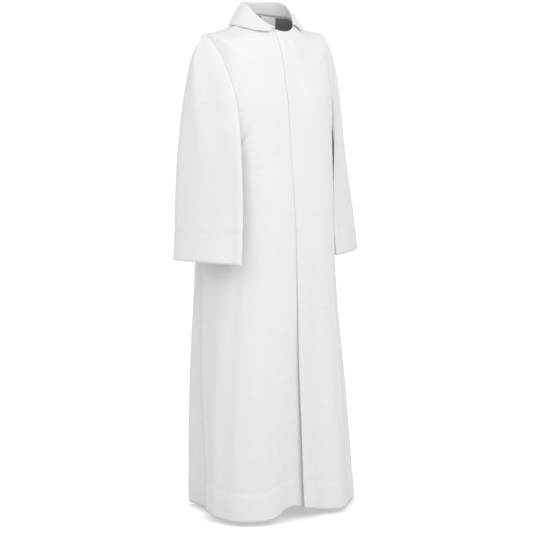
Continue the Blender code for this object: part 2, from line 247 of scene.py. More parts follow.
# Listed creases of the body, each a soft line between two places: a trough where depth is negative.
# width and depth are in metres, and bow is how far the line's middle swings off the straight way.
Crease = namedtuple("Crease", "turn drop end_turn end_drop width bow depth")
FRONT_CREASES = (
    # From the underarms up towards the chest
    Crease(-66.0, 0.372, -38.0, 0.292, 0.010, 0.006, -0.0050),
    Crease(-70.0, 0.398, -40.0, 0.330, 0.011, 0.006, 0.0030),
    Crease(66.0, 0.376, 42.0, 0.300, 0.010, -0.006, -0.0036),
    Crease(-84.0, 0.375, -62.0, 0.285, 0.009, 0.010, -0.0040),
    Crease(-86.0, 0.392, -56.0, 0.330, 0.011, 0.008, 0.0030),
    Crease(-84.0, 0.410, -50.0, 0.375, 0.010, 0.006, -0.0030),
    Crease(84.0, 0.378, 60.0, 0.290, 0.010, -0.010, -0.0040),
    Crease(86.0, 0.396, 54.0, 0.340, 0.011, -0.008, 0.0028),
    Crease(83.0, 0.420, 52.0, 0.395, 0.010, -0.005, -0.0026),
    # From the collar down the fronts
    Crease(6.0, 0.012, 10.0, 0.060, 0.0040, 0.001, 0.0016),
    Crease(7.0, 0.030, 20.0, 0.400, 0.012, 0.003, 0.0026),
    Crease(1.0, 0.060, 8.0, 0.300, 0.010, 0.002, -0.0014),
    Crease(-26.0, 0.050, -34.0, 0.300, 0.018, 0.004, 0.0022),
    Crease(-44.0, 0.070, -58.0, 0.250, 0.014, -0.006, -0.0022),
    Crease(44.0, 0.070, 56.0, 0.250, 0.014, 0.006, -0.0024),
    # Down the skirt
    Crease(-63.0, 0.520, -66.0, 1.380, 0.020, 0.004, -0.0034),
    Crease(-40.0, 0.640, -38.0, 1.400, 0.026, -0.006, 0.0034),
    Crease(-27.0, 0.760, -25.0, 1.425, 0.016, 0.003, -0.0030),
    Crease(33.0, 0.480, 36.0, 1.400, 0.016, 0.005, 0.0030),
    Crease(60.0, 0.560, 62.0, 1.420, 0.018, -0.004, -0.0034),
    Crease(82.0, 0.600, 84.0, 1.420, 0.014, 0.004, 0.0030),
)
BACK_CREASES = (
    Crease(96.0, 0.380, 122.0, 0.300, 0.010, 0.008, -0.0040),
    Crease(98.0, 0.404, 130.0, 0.352, 0.011, 0.006, 0.0028),
    Crease(264.0, 0.380, 238.0, 0.296, 0.010, -0.008, -0.0040),
    Crease(262.0, 0.400, 232.0, 0.346, 0.011, -0.006, 0.0028),
    Crease(150.0, 0.060, 140.0, 0.300, 0.016, 0.006, -0.0024),
    Crease(210.0, 0.060, 221.0, 0.310, 0.016, -0.006, -0.0022),
    Crease(172.0, 0.110, 168.0, 0.900, 0.020, 0.006, 0.0030),
    Crease(190.0, 0.150, 193.0, 1.000, 0.018, -0.004, -0.0028),
    Crease(146.0, 0.460, 150.0, 1.400, 0.018, 0.004, 0.0032),
    Crease(213.0, 0.500, 209.0, 1.400, 0.018, -0.004, 0.0030),
    Crease(120.0, 0.560, 126.0, 1.390, 0.016, 0.004, -0.0030),
    Crease(240.0, 0.520, 235.0, 1.400, 0.016, 0.004, -0.0030),
)

# Listed creases of a sleeve: turns round it, and distances down it from the armhole.
SLEEVE_CREASES = (
    Crease(166.0, 0.015, 118.0, 0.110, 0.010, 0.006, -0.0034),
    Crease(176.0, 0.040, 128.0, 0.160, 0.012, 0.006, 0.0030),
    Crease(196.0, 0.020, 246.0, 0.120, 0.011, -0.006, -0.0036),
    Crease(188.0, 0.050, 238.0, 0.190, 0.012, -0.006, 0.0030),
    Crease(92.0, 0.160, 98.0, 0.560, 0.016, 0.006, -0.0026),
    Crease(40.0, 0.060, 32.0, 0.440, 0.022, 0.008, 0.0022),
    Crease(318.0, 0.070, 324.0, 0.500, 0.020, 0.006, -0.0026),
    Crease(268.0, 0.200, 274.0, 0.580, 0.016, -0.006, -0.0030),
    Crease(60.0, 0.420, 66.0, 0.640, 0.014, 0.004, 0.0020),
    Crease(12.0, 0.380, 8.0, 0.630, 0.016, -0.004, -0.0018),
)

# Radii that turn the turns of creases into lengths, and the share of a crease that each end takes to fade
GIRTH_RADIUS = 0.19
SLEEVE_RADIUS = 0.085
CREASE_END_SHARE = 0.35

# Slow uneven waves: how many are added up, the fewest of one round a piece and the number that they stay
# under on the body and on a sleeve, and the shortest and longest
DRIFT_WAVES = 14
FEWEST_ROUND = 3
ROUND_LIMIT_BODY = 17
ROUND_LIMIT_SLEEVE = 8
SHORTEST_WAVE = 0.35
LONGEST_WAVE = 1.2
BODY_SEED = 7
GORE_SEED = 11
SLEEVE_SEED = 23

# How far down from the neck seam the cloth is still quiet, and for what share of a sleeve below the armhole
NECK_QUIET = 0.06
ARMHOLE_QUIET_SHARE = 0.08

# Resolution of the cloth, in steps along each run
FRONT_COLUMNS = 84
BACK_COLUMNS = 128
SHOULDER_ROWS = 24
ARMHOLE_ROWS = 48
SKIRT_ROWS = 156
GORE_COLUMNS = 24
GORE_ROWS = 150
SLEEVE_ROWS = 96
COLLAR_COLUMNS = 132
STAND_STEPS = 9
ROLL_STEPS = 6
LEAF_STEPS = 15
LABEL_COLUMNS = 16
LABEL_ROWS = 10

# Flat cut of what shows of each piece: width and length of its rectangle, and its own area. A sleeve counts
# all round.
Cut = namedtuple("Cut", "width length area")
FRONT_LEFT_CUT = Cut(0.40, 1.50, 0.48)
FRONT_RIGHT_CUT = Cut(0.41, 1.50, 0.49)

# The stitched line of a hem: its groove, and how far and how soon the hem stands proud below it
HEM_GROOVE_WIDTH = 0.0042
HEM_GROOVE_DEPTH = 0.0017
HEM_PROUD = 0.0010
HEM_STEP = 0.010

# Stitches, and how far the collar's lie from its edges, in steps of its grid
STITCH_PITCH = 0.0032
STITCH_SHARE = 0.74
STITCH_HALF_WIDTH = 0.00032
STITCH_HEIGHT = 0.00026
COLLAR_STITCH_ROWS = 1.3
COLLAR_STITCH_COLUMNS = 1.6

# A stitch's corners are its two ends, its two sides and its crown. These are its faces.
STITCH_FACES = ((0, 2, 4), (0, 4, 3), (1, 4, 2), (1, 3, 4), (0, 3, 2), (1, 2, 3))

# A length under this counts as this, so that nothing is divided by zero.
SMALLEST_LENGTH = 1e-12

# Corners of a face of cloth, as steps in column and row of its grid
FACE_STEPS = ((0, 0), (0, 1), (1, 1), (1, 0))

# Weaves: pitch of the threads, strength of the slubs, and sheen
Weave = namedtuple("Weave", "pitch slub_strength sheen")
CLOTH_WEAVE = Weave(0.0011, 0.65, 0.10)
TAPE_WEAVE = Weave(0.0006, 0.5, 0.05)
THREAD_WEAVE = Weave(0.0005, 0.6, 0.2)

# Inputs of the weave's node group: the usual, lowest and highest value of each
WeaveInput = namedtuple("WeaveInput", "name usual low high")
WEAVE_INPUTS = (
    WeaveInput("Thread Pitch", 0.0011, 0.0001, 0.01),
    WeaveInput("Slub Length", 0.035, 0.001, 0.5),
    WeaveInput("Slub Width", 0.0020, 0.0001, 0.05),
    WeaveInput("Slub Strength", 1.0, 0.0, 2.0),
)

# Slubs: where in the noise the weft and the warp read theirs, the noise's detail, and how strong the warp's
# slubs and the single threads are beside the weft's slubs
WEFT_NOISE_PLACE = 3.7
WARP_NOISE_PLACE = 11.3
SLUB_NOISE_DETAIL = 2.0
WARP_SLUB_SHARE = 0.45
THREAD_SHARE = 0.35

# Finish: the share of the colour between the slubs and on them, the noise's middle, the weave's height and
# the gloss
DARK_TONE = 0.93
PALE_TONE = 1.07
MIDDLE_TONE = 0.5
WEAVE_HEIGHT = 0.0006
CLOTH_SPECULAR = 0.25
SHEEN_ROUGHNESS = 0.5

# Places of a Mix node's sockets: its share, its two numbers or colours, and the result of each kind
MIX_SHARE = 0
MIX_NUMBERS = (2, 3)
MIX_COLOURS = (6, 7)
MIX_NUMBER_RESULT = 0
MIX_COLOUR_RESULT = 2

# Studio: how far each light stands aside from the camera, in degrees, and its share of the key power
Light = namedtuple("Light", "name aside share")
LIGHTS = (
    Light("front_light_right", 6.0, 0.72),
    Light("front_light_left", 44.0, 1.20),
    Light("side_light", -40.0, 0.62),
)
LIGHT_DISTANCE = 3.4
LIGHT_HEIGHT = 1.3
LIGHT_AIM_HEIGHT = -0.20
LIGHT_WIDTH = 2.4
LIGHT_LENGTH = 2.0
BACKDROP_STRENGTH = 1.05
FLOOR_RADIUS = 5.0
FLOOR_SIDES = 96
SENSOR_WIDTH = 36.0
WHITE = (1.0, 1.0, 1.0, 1.0)


def smooth(share):
    """0 to 1 with a soft start and end."""
    share = np.clip(share, 0.0, 1.0)
    return share * share * (3.0 - 2.0 * share)


def mix(low, high, share):
    """The value at this share of the way from low to high."""
    return low + (high - low) * share


def grown(drop, start):
    """0 down to the drop start, then softly up to 1 at the hem."""
    return smooth((drop - start) / (ROBE_LENGTH - start))


def read_table(rows, places):
    """The table's columns at these places, as curves through its rows that never overshoot."""
    table = np.array(rows, float)
    keys = table[:, 0]
    places = np.clip(np.asarray(places, float), keys[0], keys[-1])
    run = np.diff(keys)
    rise = np.diff(table, axis=0) / run[:, None]
    slopes = row_slopes(run, rise)
    index = np.clip(np.searchsorted(keys, places, side="right") - 1, 0, len(run) - 1)
    span = run[index]
    share = (places - keys[index]) / span
    rest = 1.0 - share
    columns = [
        table[index, column] * (1.0 + 2.0 * share) * rest * rest
        + table[index + 1, column] * (3.0 - 2.0 * share) * share * share
        + slopes[index, column] * span * share * rest * rest
        - slopes[index + 1, column] * span * share * share * rest
        for column in range(table.shape[1])
    ]
    return type(rows[0])(*columns)


def row_slopes(run, rise):
    """Slope of each column at each row: flat where the column turns back."""
    slopes = np.vstack([rise[:1], np.zeros_like(rise[1:]), rise[-1:]])
    before = run[:-1, None] + 2.0 * run[1:, None]
    after = 2.0 * run[:-1, None] + run[1:, None]
    same_way = rise[:-1] * rise[1:] > 0.0
    rise_in = np.where(same_way, rise[:-1], 1.0)
    rise_out = np.where(same_way, rise[1:], 1.0)
    slopes[1:-1] = np.where(same_way, (before + after) / (before / rise_in + after / rise_out), 0.0)
    return slopes


def power(value, exponent):
    """The power of a value's size, with the value's sign."""
    return np.copysign(np.abs(value) ** exponent, value)


def oval_point(half_width, front, back, squareness, turn):
    """Point of a squared oval, and its outward direction, both in plan."""
    sine = np.sin(np.radians(turn))
    cosine = np.cos(np.radians(turn))
    depth = np.where(cosine > 0.0, front, back)
    x = half_width * power(sine, 2.0 / squareness)
    y = -depth * power(cosine, 2.0 / squareness)
    normal_x = power(x / half_width, squareness - 1.0) / half_width
    normal_y = power(y / depth, squareness - 1.0) / depth
    length = np.hypot(normal_x, normal_y)
    return x, y, normal_x / length, normal_y / length


def turn_at_x(section, x):
    """Turn of the section's front where its X is x."""
    share = (x - section.centre_x) / section.half_width
    return np.degrees(np.arcsin(power(share, section.squareness / 2.0)))


def turn_between(first, last):
    """How far it is from the first turn to the last one, the short way round."""
    return (last - first + 180.0) % 360.0 - 180.0


def swell(turn, centre, spread):
    """1 at the centre turn, falling softly to 0 beyond the spread."""
    return np.exp(-((turn_between(centre, turn) / spread) ** 2))


def fold_depth(turn, drop):
    """Sum of the large folds at a place."""
    return sum(
        fold.depth * grown(drop, fold.start) * swell(turn, fold.turn, fold.spread) for fold in BODY_FOLDS
    )


def hem_rise(turn, drop):
    """How far the uneven hem lifts a place."""
    rise = sum(row.rise * swell(turn, row.turn, row.spread) for row in HEM_RISES)
    return grown(drop, HEM_RISE_START) * rise


def body_point(turn, drop, outset):
    """Points of the worn body of the robe, moved out by outset."""
    section = read_table(BODY_SECTIONS, drop)
    x, y, normal_x, normal_y = oval_point(
        section.half_width, section.front, section.back, section.squareness, turn
    )
    outset = outset + fold_depth(turn, drop)
    cosine = np.cos(np.radians(turn))
    level = np.where(cosine > 0.0, section.front_z, section.back_z)
    x = x + section.centre_x + normal_x * outset
    y = y + section.centre_y + normal_y * outset
    z = mix(section.side_z, level, cosine * cosine) + hem_rise(turn, drop)
    return np.stack([x, y, z], axis=-1)


def armhole_drops():
    """Drops of the rows beside the armhole, a little closer together at the shoulder and the underarm."""
    even = np.linspace(0.0, 1.0, ARMHOLE_ROWS + 1)
    round_share = (1.0 - np.cos(math.pi * even)) / 2.0
    return mix(SHOULDER_DROP, UNDERARM_DROP, mix(even, round_share, ARMHOLE_ROUND))


def body_drops():
    """Drops of a body panel's rows, from the neck to the hem."""
    shoulder = np.linspace(0.0, SHOULDER_DROP, SHOULDER_ROWS, endpoint=False)
    skirt = np.linspace(UNDERARM_DROP, ROBE_LENGTH, SKIRT_ROWS + 1)[1:]
    return np.concatenate([shoulder, armhole_drops(), skirt])


def gore_drops():
    """Drops of a side gore's rows, from its top to the hem."""
    return np.linspace(GORE_TOP_DROP, ROBE_LENGTH, GORE_ROWS + 1)


def panel_places(columns, drops):
    """Share across and drop of each point of a panel, as grids."""
    return np.meshgrid(np.linspace(0.0, 1.0, columns + 1), drops, indexing="ij")


def grid_normals(points, closed=False):
    """Outward directions of a grid whose lines run down the cloth, side by side towards larger turns."""
    if closed:
        across = np.roll(points, -1, axis=0) - np.roll(points, 1, axis=0)
    else:
        across = np.gradient(points, axis=0)
    down = np.gradient(points, axis=1)
    normals = np.cross(down, across)
    return normals / np.maximum(np.linalg.norm(normals, axis=-1, keepdims=True), SMALLEST_LENGTH)


def crease_relief(creases, turn, drop, radius):
    """Sum of the listed creases at these places."""
    relief = np.zeros(np.broadcast(turn, drop).shape)
    for crease in creases:
        across = math.radians(crease.end_turn - crease.turn) * radius
        along = crease.end_drop - crease.drop
        length = math.hypot(across, along)
        away_across = np.radians(turn_between(crease.turn, turn)) * radius
        away_along = drop - crease.drop
        share = (away_across * across + away_along * along) / length**2
        off = (away_across * along - away_along * across) / length
        off = off - crease.bow * 4.0 * share * (1.0 - share)
        ends = smooth(share / CREASE_END_SHARE) * smooth((1.0 - share) / CREASE_END_SHARE)
        relief += crease.depth * ends * np.exp(-((off / crease.width) ** 2))
    return relief


def drift_relief(turn, drop, round_limit, seed, height):
    """Slow uneven waves of hanging cloth, with fewer than round_limit of them round it."""
    generator = np.random.default_rng(seed)
    relief = np.zeros(np.broadcast(turn, drop).shape)
    for _ in range(DRIFT_WAVES):
        across = generator.integers(FEWEST_ROUND, round_limit) * generator.choice([-1, 1])
        along = math.tau / generator.uniform(SHORTEST_WAVE, LONGEST_WAVE)
        phase = generator.uniform(0.0, math.tau)
        relief += np.sin(np.radians(turn) * across + drop * along + phase)
    return relief * height / math.sqrt(DRIFT_WAVES)


def hem_relief(drop, hem_width):
    """The stitched line of the turned-up hem: a narrow groove, and the hem a little proud below it."""
    off = drop - (ROBE_LENGTH - hem_width)
    groove = np.exp(-((off / HEM_GROOVE_WIDTH) ** 2))
    return HEM_PROUD * smooth(off / HEM_STEP) - HEM_GROOVE_DEPTH * groove


def body_relief(turn, drop, settings):
    """Everything that the cloth of the body does on top of its large folds."""
    creases = crease_relief(FRONT_CREASES + BACK_CREASES, turn, drop, GIRTH_RADIUS)
    quiet = smooth(drop / NECK_QUIET)
    drift = drift_relief(turn, drop, ROUND_LIMIT_BODY, BODY_SEED, settings.drift)
    return settings.crease_share * creases + drift * quiet + hem_relief(drop, settings.hem_width)


def settle(points, relief, closed=False, sign=1.0):
    """The points moved along their outward directions by the relief."""
    return points + grid_normals(points, closed) * (sign * relief)[..., None]


def front_left_points(settings):
    """The left front, from its free edge to the side, with the edge rolled in a little."""
    share, drop = panel_places(FRONT_COLUMNS, body_drops())
    section = read_table(BODY_SECTIONS, drop)
    edge = turn_at_x(section, read_table(FLY_EDGE, drop).x)
    side = read_table(PANEL_REACH, drop).front_turn
    turn = mix(edge, side, share)
    relief = body_relief(turn, drop, settings)
    lip = -LIP_DEPTH * np.exp(-(share * FRONT_COLUMNS / LIP_COLUMNS))
    return settle(body_point(turn, drop, 0.0), relief + lip)


def valley_inset(x, edge_x, drop):
    """How far the right front lies behind the left one: a lap above, and an open pleat below."""
    opened = grown(drop, PLEAT_OPEN_DROP)
    width = mix(LAP_BLEND, VALLEY_WIDTH, opened)
    near = smooth((x - (edge_x - width)) / width)
    return LAP_INSET * near + VALLEY_DEPTH * opened * near


def front_right_points(settings):
    """The right front, from the side to its edge under the left front."""
    share, drop = panel_places(FRONT_COLUMNS, body_drops())
    section = read_table(BODY_SECTIONS, drop)
    edge_x = read_table(FLY_EDGE, drop).x
    lap = np.minimum(LAP_UNDER, section.half_width * LAP_MOST_SHARE)
    side = -read_table(PANEL_REACH, drop).front_turn
    turn = mix(side, turn_at_x(section, edge_x + lap), share)
    x = body_point(turn, drop, 0.0)[..., 0]
    relief = body_relief(turn, drop, settings)
    return settle(body_point(turn, drop, -valley_inset(x, edge_x, drop)), relief)


def back_points(settings):
    """The back, from the wearer's left side round to the right."""
    share, drop = panel_places(BACK_COLUMNS, body_drops())
    reach = read_table(PANEL_REACH, drop).back_turn
    turn = mix(reach, 360.0 - reach, share)
    relief = body_relief(turn, drop, settings)
    return settle(body_point(turn, drop, 0.0), relief)


def gore_points(side, settings):
    """A side gore, falling in behind the edges of the front and the back."""
    share, drop = panel_places(GORE_COLUMNS, gore_drops())
    reach = read_table(PANEL_REACH, drop)
    first = reach.front_turn - GORE_TURN_UNDER
    last = reach.back_turn + GORE_TURN_UNDER
    turn = mix(first, last, share) if side > 0.0 else mix(360.0 - last, 360.0 - first, share)
    inside = smooth(np.minimum(share, 1.0 - share) / GORE_FOLD_SHARE)
    inset = mix(GORE_EDGE_INSET, read_table(GORE_INSET, drop).depth, inside)
    relief = drift_relief(turn, drop, ROUND_LIMIT_BODY, GORE_SEED, settings.drift)
    return settle(body_point(turn, drop, -inset), relief + hem_relief(drop, settings.hem_width))


def armhole_turns():
    """Turns round the armhole: 0 at the shoulder, 90 at its front, 180 at the underarm, 270 at its back."""
    turns = np.linspace(0.0, 180.0, ARMHOLE_ROWS + 1)
    return np.concatenate([turns, 360.0 - turns[-2:0:-1]])


def armhole_edge(side, settings):
    """Points of the armhole's seam: down the front's edge from the shoulder, and up the back's."""
    rows = slice(SHOULDER_ROWS, SHOULDER_ROWS + ARMHOLE_ROWS + 1)
    back = back_points(settings)
    if side > 0.0:
        down, up = front_left_points(settings)[-1, rows], back[0, rows]
    else:
        down, up = front_right_points(settings)[0, rows], back[-1, rows]
    return np.concatenate([down, up[-2:0:-1]])


def cuff_point(turn_round, side, cuff):
    """Points of the cuff's edge: an oval with a creased front, its long way turned in towards the front."""
    angle = np.radians(turn_round)
    front = np.maximum(np.sin(angle), 0.0)
    outward = cuff.short * np.cos(angle) * (1.0 - CUFF_CREASE * front * front)
    forward = cuff.long * np.sin(angle)
    yaw = math.radians(cuff.yaw)
    x = cuff.x + outward * math.cos(yaw) - forward * math.sin(yaw)
    y = cuff.y - outward * math.sin(yaw) - forward * math.cos(yaw)
    z = cuff.z + CUFF_OUTER_RISE * np.cos(angle)
    return np.stack([side * x, y, z], axis=-1)


def curve_points(start, first, second, end, share):
    """Points of curves that leave start towards first and reach end from second."""
    rest = 1.0 - share
    return (
        start * rest**3
        + 3.0 * first * share * rest**2
        + 3.0 * second * share**2 * rest
        + end * share**3
    )


def sleeve_points(side, settings):
    """A tube of curves from the armhole out over the shoulder and down to the cuff."""
    cuff = LEFT_CUFF if side > 0.0 else RIGHT_CUFF
    shares = np.linspace(0.0, 1.0, SLEEVE_ROWS + 1)
    turn_round, share = np.meshgrid(armhole_turns(), shares, indexing="ij")
    angle = np.radians(turn_round)
    top = (1.0 + np.cos(angle)) / 2.0
    front = np.maximum(np.sin(angle), 0.0)
    back = np.maximum(-np.sin(angle), 0.0)
    end = cuff_point(turn_round, side, cuff)
    edge = np.repeat(armhole_edge(side, settings)[:, None], SLEEVE_ROWS + 1, axis=1)
    pull = mix(UNDER_PULL, HEAD_PULL, top) * (edge[..., 2] - end[..., 2])
    reach = mix(UNDER_REACH, HEAD_REACH, top) * (1.0 - FRONT_CLOSE * front) + BACK_REACH * back
    first = edge.copy()
    first[..., 0] += side * reach
    first[..., 1] += BACK_PUSH * back - SLEEVE_FRONT_BOW * front
    first[..., 2] -= mix(UNDER_FALL, HEAD_FALL, top)
    second = end.copy()
    second[..., 0] -= side * (pull * cuff.flare * np.cos(angle) + cuff.tuck * front)
    second[..., 1] -= pull * SLEEVE_BACK_FLARE * back
    second[..., 2] += pull
    points = curve_points(edge, first, second, end, share[..., None])
    away = share * (SLEEVE_UNDER_LENGTH + SLEEVE_HEAD_EXTRA * top)
    relief = sleeve_relief(turn_round, away, share, points[..., 2] - end[..., 2], settings)
    return settle(points, relief, closed=True, sign=-side)


def sleeve_relief(turn_round, away, share, to_cuff, settings):
    """Creases and slow waves of a sleeve, and the stitched line of its cuff hem.

    away is the distance from the armhole, share is the same as a share of the sleeve, and to_cuff is the
    height above the cuff.
    """
    creases = crease_relief(SLEEVE_CREASES, turn_round, away, SLEEVE_RADIUS)
    drift = drift_relief(turn_round, away, ROUND_LIMIT_SLEEVE, SLEEVE_SEED, settings.drift)
    free = smooth(share / ARMHOLE_QUIET_SHARE)
    groove = np.exp(-(((to_cuff - settings.cuff_hem_width) / HEM_GROOVE_WIDTH) ** 2))
    return (settings.crease_share * creases + drift) * free - HEM_GROOVE_DEPTH * groove


def collar_points():
    """The collar: up its stand from the neck seam, over the roll and down the leaf."""
    neck = BODY_SECTIONS[0]
    first = turn_at_x(neck, COLLAR_LEFT_END_X)
    last = 360.0 + turn_at_x(neck, COLLAR_RIGHT_END_X)
    turn = np.linspace(first, last, COLLAR_COLUMNS + 1)
    seam = body_point(turn, np.zeros_like(turn), 0.0)
    seam[:, 2] += COLLAR_SEAM_LIFT
    levels = read_table(COLLAR_ROWS, np.abs(turn_between(0.0, turn)))
    roll_x, roll_y, _, _ = oval_point(ROLL_HALF_WIDTH, ROLL_FRONT, ROLL_BACK, neck.squareness, turn)
    leaf_x, leaf_y, _, _ = oval_point(LEAF_HALF_WIDTH, LEAF_FRONT, LEAF_BACK, neck.squareness, turn)
    roll = np.stack([roll_x, roll_y + COLLAR_CENTRE_Y, levels.roll_z], axis=-1)
    leaf = np.stack([leaf_x, leaf_y + COLLAR_CENTRE_Y, levels.leaf_z - LEAF_SETTLE], axis=-1)
    stand = [mix(seam, roll, step / STAND_STEPS) for step in range(STAND_STEPS)]
    fall = []
    for step in range(LEAF_STEPS + 1):
        share = step / LEAF_STEPS
        point = mix(roll, leaf, share)
        point[:, 2] += COLLAR_BOW * math.sin(math.pi * share)
        fall.append(point)
    lines = round_the_roll(np.stack(stand + fall, axis=1))
    down = np.linspace(0.0, 1.0, lines.shape[1])[None, :]
    wave = np.sin(np.radians(turn)[:, None] * COLLAR_WAVES + COLLAR_WAVE_PHASE)
    relief = COLLAR_WAVE_HEIGHT * wave * smooth((down - COLLAR_WAVE_START) / COLLAR_WAVE_SOFT)
    return settle(lines, relief)


def round_the_roll(lines):
    """The collar's lines with their top fold softened by averaging each point there with its neighbours."""
    for _ in range(ROLL_STEPS):
        inner = (lines[:, :-2] + 2.0 * lines[:, 1:-1] + lines[:, 2:]) / 4.0
        place = np.arange(1, lines.shape[1] - 1)
        near = np.exp(-(((place - STAND_STEPS) / ROLL_SOFT_STEPS) ** 2))[None, :, None]
        lines = lines.copy()
        lines[:, 1:-1] = mix(lines[:, 1:-1], inner, near)
    return lines


def label_points():
    """The label hangs straight down from the neck seam, leaning a little inward."""
    share, fall = panel_places(LABEL_COLUMNS, np.linspace(LABEL_TOP, LABEL_BOTTOM, LABEL_ROWS + 1))
    turn = mix(LABEL_FIRST_TURN, LABEL_LAST_TURN, share)
    lean = LABEL_LEAN * (fall - LABEL_TOP) / (LABEL_BOTTOM - LABEL_TOP)
    points = body_point(turn, np.zeros_like(turn), -LABEL_INSET - lean)
    points[..., 2] -= fall
    return points


def link_object(name, data):
    """A new object in the scene."""
    thing = bpy.data.objects.new(name, data)
    bpy.context.scene.collection.objects.link(thing)
    return thing


def grid_object(name, points, closed=False, flip=False):
    """A smooth mesh through a grid of points, with its flat place in metres as a UV map.

    A tube's threads run level, so there the map takes each point's own height.
    """
    columns, rows = points.shape[:2]
    strips = columns if closed else columns - 1
    column, row = np.meshgrid(np.arange(strips), np.arange(rows - 1), indexing="ij")
    steps = FACE_STEPS[::-1] if flip else FACE_STEPS
    place_columns = np.stack([column + right for right, _ in steps], axis=-1)
    place_rows = np.stack([row + below for _, below in steps], axis=-1)
    corners = place_columns % columns * rows + place_rows
    mesh = bpy.data.meshes.new(name)
    mesh.from_pydata(points.reshape(-1, 3).tolist(), [], corners.reshape(-1, 4).tolist())
    across, down = flat_places(points, closed)
    levels = points[..., 2] if closed else np.broadcast_to(-down, (columns, rows))
    places = np.stack([across[place_columns], levels[place_columns % columns, place_rows]], axis=-1)
    cloth_map = mesh.uv_layers.new(name=CLOTH_MAP)
    cloth_map.data.foreach_set("uv", places.astype(np.float32).ravel())
    mesh.shade_smooth()
    return link_object(name, mesh)


def flat_places(points, closed):
    """Distances across a grid at its middle row, and down it along its middle line."""
    middle = points[:, points.shape[1] // 2]
    if closed:
        middle = np.vstack([middle, middle[:1]])
    return reach_along(middle), reach_along(points[points.shape[0] // 2])


def reach_along(line):
    """Distance from a line's start to each of its points."""
    return np.concatenate([[0.0], np.cumsum(np.linalg.norm(np.diff(line, axis=0), axis=-1))])


def thicken(piece, thickness):
    """Gives the cloth its wall, inward from its outer face."""
    wall = piece.modifiers.new("cloth wall", "SOLIDIFY")
    wall.thickness = thickness
    wall.offset = -1.0
    wall.use_rim = True


def grid_line(points, columns, rows):
    """Points of a grid at fractional columns and rows."""
    column = np.clip(np.floor(columns).astype(int), 0, points.shape[0] - 2)
    row = np.clip(np.floor(rows).astype(int), 0, points.shape[1] - 2)
    across = (columns - column)[:, None]
    down = (rows - row)[:, None]
    upper = mix(points[column, row], points[column + 1, row], across)
    lower = mix(points[column, row + 1], points[column + 1, row + 1], across)
    return mix(upper, lower, down)


def stitch_run(points, normals, columns, rows):
    """A run of stitching at fractional places of a grid: its points and their outward directions."""
    return grid_line(points, columns, rows), grid_line(normals, columns, rows)


def hem_run(points, drops, hem_width):
    """The run that holds a panel's turned-up hem."""
    row = np.interp(ROBE_LENGTH - hem_width, drops, np.arange(len(drops)))
    columns = np.arange(points.shape[0], dtype=float)
    return stitch_run(points, grid_normals(points), columns, np.full(len(columns), row))


def cuff_run(points, side, hem_width):
    """The run that holds a sleeve's cuff hem, once round the sleeve at one height above its cuff."""
    normals = -side * grid_normals(points, closed=True)
    ring = np.concatenate([points, points[:1]])
    ring_normals = np.concatenate([normals, normals[:1]])
    columns = np.arange(len(ring), dtype=float)
    return stitch_run(ring, ring_normals, columns, level_rows(ring, hem_width))


def level_rows(points, height):
    """The fractional row at which each column of a grid stands this high above its last point."""
    count = np.arange(points.shape[1], dtype=float)
    rises = points[:, ::-1, 2] - points[:, -1:, 2]
    return np.array([np.interp(height, rise, count[::-1]) for rise in rises])


def collar_run(points):
    """The run round the collar's leaf: down one end, along the outer edge and up the other end."""
    last_column = points.shape[0] - 1.0
    low_row = points.shape[1] - 1.0 - COLLAR_STITCH_ROWS
    first, last = COLLAR_STITCH_COLUMNS, last_column - COLLAR_STITCH_COLUMNS
    down = np.arange(STAND_STEPS + ROLL_STEPS / 2.0, low_row)
    along = np.arange(first, last)
    columns = np.concatenate([np.full(len(down), first), along, np.full(len(down), last)])
    rows = np.concatenate([down, np.full(len(along), low_row), down[::-1]])
    return stitch_run(points, grid_normals(points), columns, rows)


def point_at(distance, reach, line):
    """The point of a line, or its outward direction, at this distance along it."""
    return np.array([np.interp(distance, reach, line[:, axis]) for axis in range(3)])


def stitch_object(name, run):
    """Short stitches of thread lying along a run, as one mesh."""
    path, normals = run
    reach = reach_along(path)
    corners, faces, places = [], [], []
    for start in np.arange(0.0, reach[-1] - STITCH_PITCH, STITCH_PITCH):
        halfway = start + STITCH_PITCH * STITCH_SHARE / 2.0
        first = point_at(start, reach, path)
        middle = point_at(halfway, reach, path)
        last = point_at(start + STITCH_PITCH * STITCH_SHARE, reach, path)
        up = point_at(halfway, reach, normals)
        up /= np.linalg.norm(up)
        aside = np.cross(last - first, up)
        aside *= STITCH_HALF_WIDTH / np.linalg.norm(aside)
        base = len(corners)
        corners += [first, last, middle + aside, middle - aside, middle + up * STITCH_HEIGHT]
        faces += [tuple(base + corner for corner in face) for face in STITCH_FACES]
        places += [start, start + STITCH_PITCH, start, start, start]
    mesh = bpy.data.meshes.new(name)
    mesh.from_pydata([tuple(corner) for corner in corners], [], faces)
    cloth_map = mesh.uv_layers.new(name=CLOTH_MAP)
    for loop in mesh.loops:
        cloth_map.data[loop.index].uv = (places[loop.vertex_index], 0.0)
    return link_object(name, mesh)


def sew(node, run, cloth):
    """Makes the stitches of a node's piece in their thread."""
    stitches = stitch_object("stitches_" + node, run)
    stitches.data.materials.append(thread_material(cloth))
    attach(stitches, BODY)
    return stitches


def dress(piece, node, material):
    """Puts a finished piece in the place of its solid."""
    piece.data.materials.append(material)
    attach(piece, BODY)
    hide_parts(node)


def make_panel(node, points, drops, cloth):
    """Makes one hemmed panel in the place of its solid, with the stitches of its hem."""
    panel = grid_object("cloth_" + node, points)
    thicken(panel, cloth.wall)
    dress(panel, node, cloth_material(cloth))
    stitches = sew(node, hem_run(points, drops, cloth.hem_width), cloth)


def set_inputs(node, values):
    """Sets a node's inputs by their names."""
    for name, value in values.items():
        node.inputs[name].default_value = value


